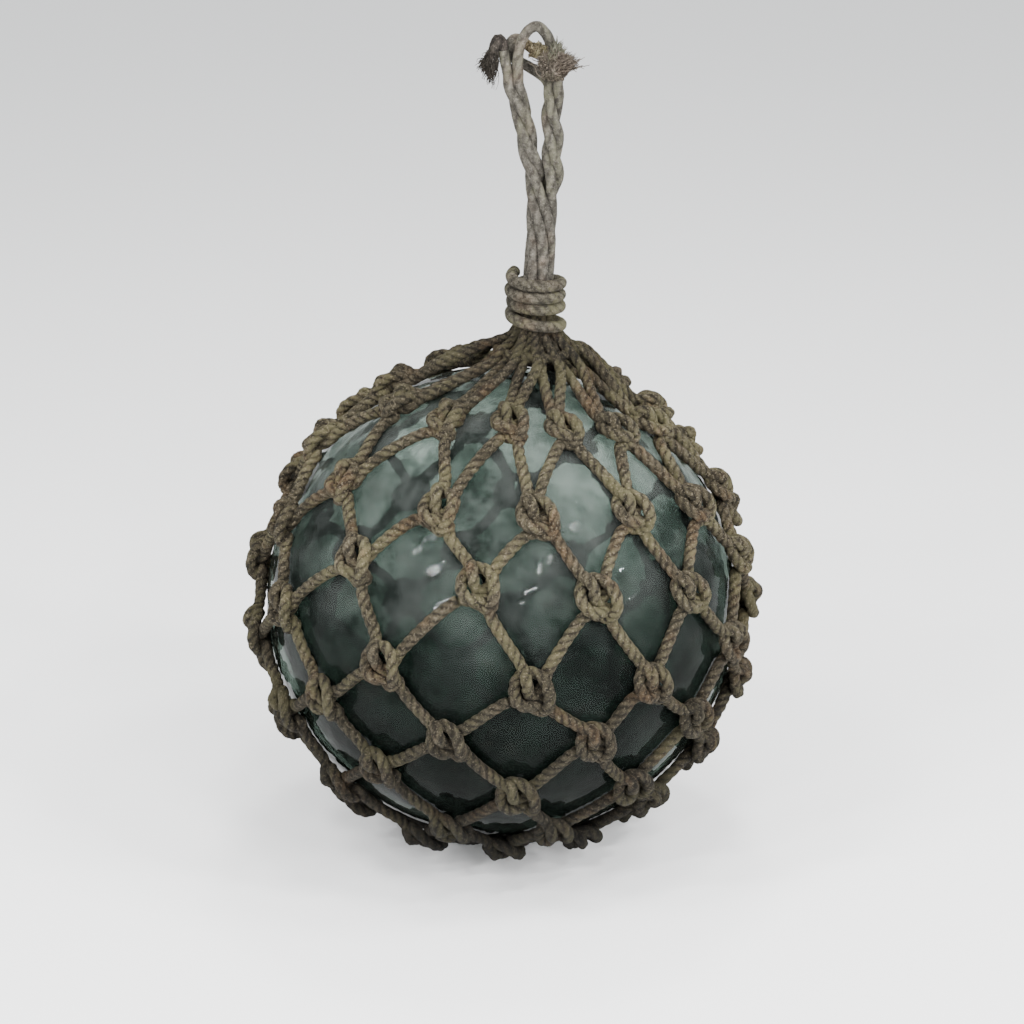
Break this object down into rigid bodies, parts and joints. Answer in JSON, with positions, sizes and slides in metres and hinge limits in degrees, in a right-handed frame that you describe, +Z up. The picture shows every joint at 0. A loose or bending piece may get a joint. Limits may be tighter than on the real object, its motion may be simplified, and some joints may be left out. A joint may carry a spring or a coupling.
{
  "type": "glass float ball in a rope net",
  "caption": "Blown glass fishing float in a knotted rope net, its ropes gathered under a whipping with a frayed rope handle above.",
  "frame": {"origin": "centre of the flat closing coil of the net, on the surface that the float stands on", "axes": "+Z up through the ball towards the handle, -Y towards the side seen in the picture, +X to its right"},
  "size_m": [0.3395, 0.3377, 0.5244],
  "materials": {
    "glass": "clear sea green glass, wavy, with seed bubbles",
    "net_rope": "weathered laid rope, grey brown with lichen",
    "whipping_rope": "weathered laid rope, grey",
    "handle_rope": "weathered laid rope, grey, frayed at the ends"
  },
  "bodies": {
    "root": {"glass_ball": "glass", "rope_net": "net_rope", "neck_whipping": "whipping_rope", "handle_rope_arched": "handle_rope", "handle_rope_tail": "handle_rope", "handle_rope_hitched": "handle_rope", "handle_rope_frayed": "handle_rope"}
  },
  "joints": []
}
